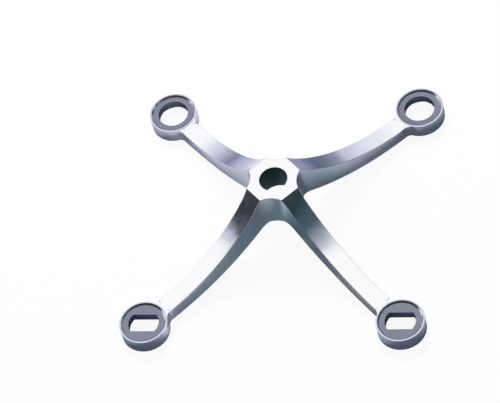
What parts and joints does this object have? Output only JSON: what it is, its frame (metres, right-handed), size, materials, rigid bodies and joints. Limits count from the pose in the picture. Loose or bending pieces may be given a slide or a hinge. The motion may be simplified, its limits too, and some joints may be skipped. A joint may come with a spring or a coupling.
{
  "type": "four-arm glass spider fitting",
  "caption": "Cast polished stainless steel spider: raised hub with a bolt bore, curved arms falling to ring ends with round eyes at the back and slots at the front.",
  "frame": {"origin": "on the hub axis, in the plane of the four ring feet", "axes": "+Z from the ring feet up to the hub face; +X across from the left rings to the right rings; +Y from the slotted rings to the round-eyed rings"},
  "size_m": [0.238, 0.238, 0.059],
  "materials": {
    "polished_stainless": "investment-cast stainless steel, ground and buffed to a soft mirror"
  },
  "bodies": {
    "root": {"spider_body": "polished_stainless"}
  },
  "joints": []
}
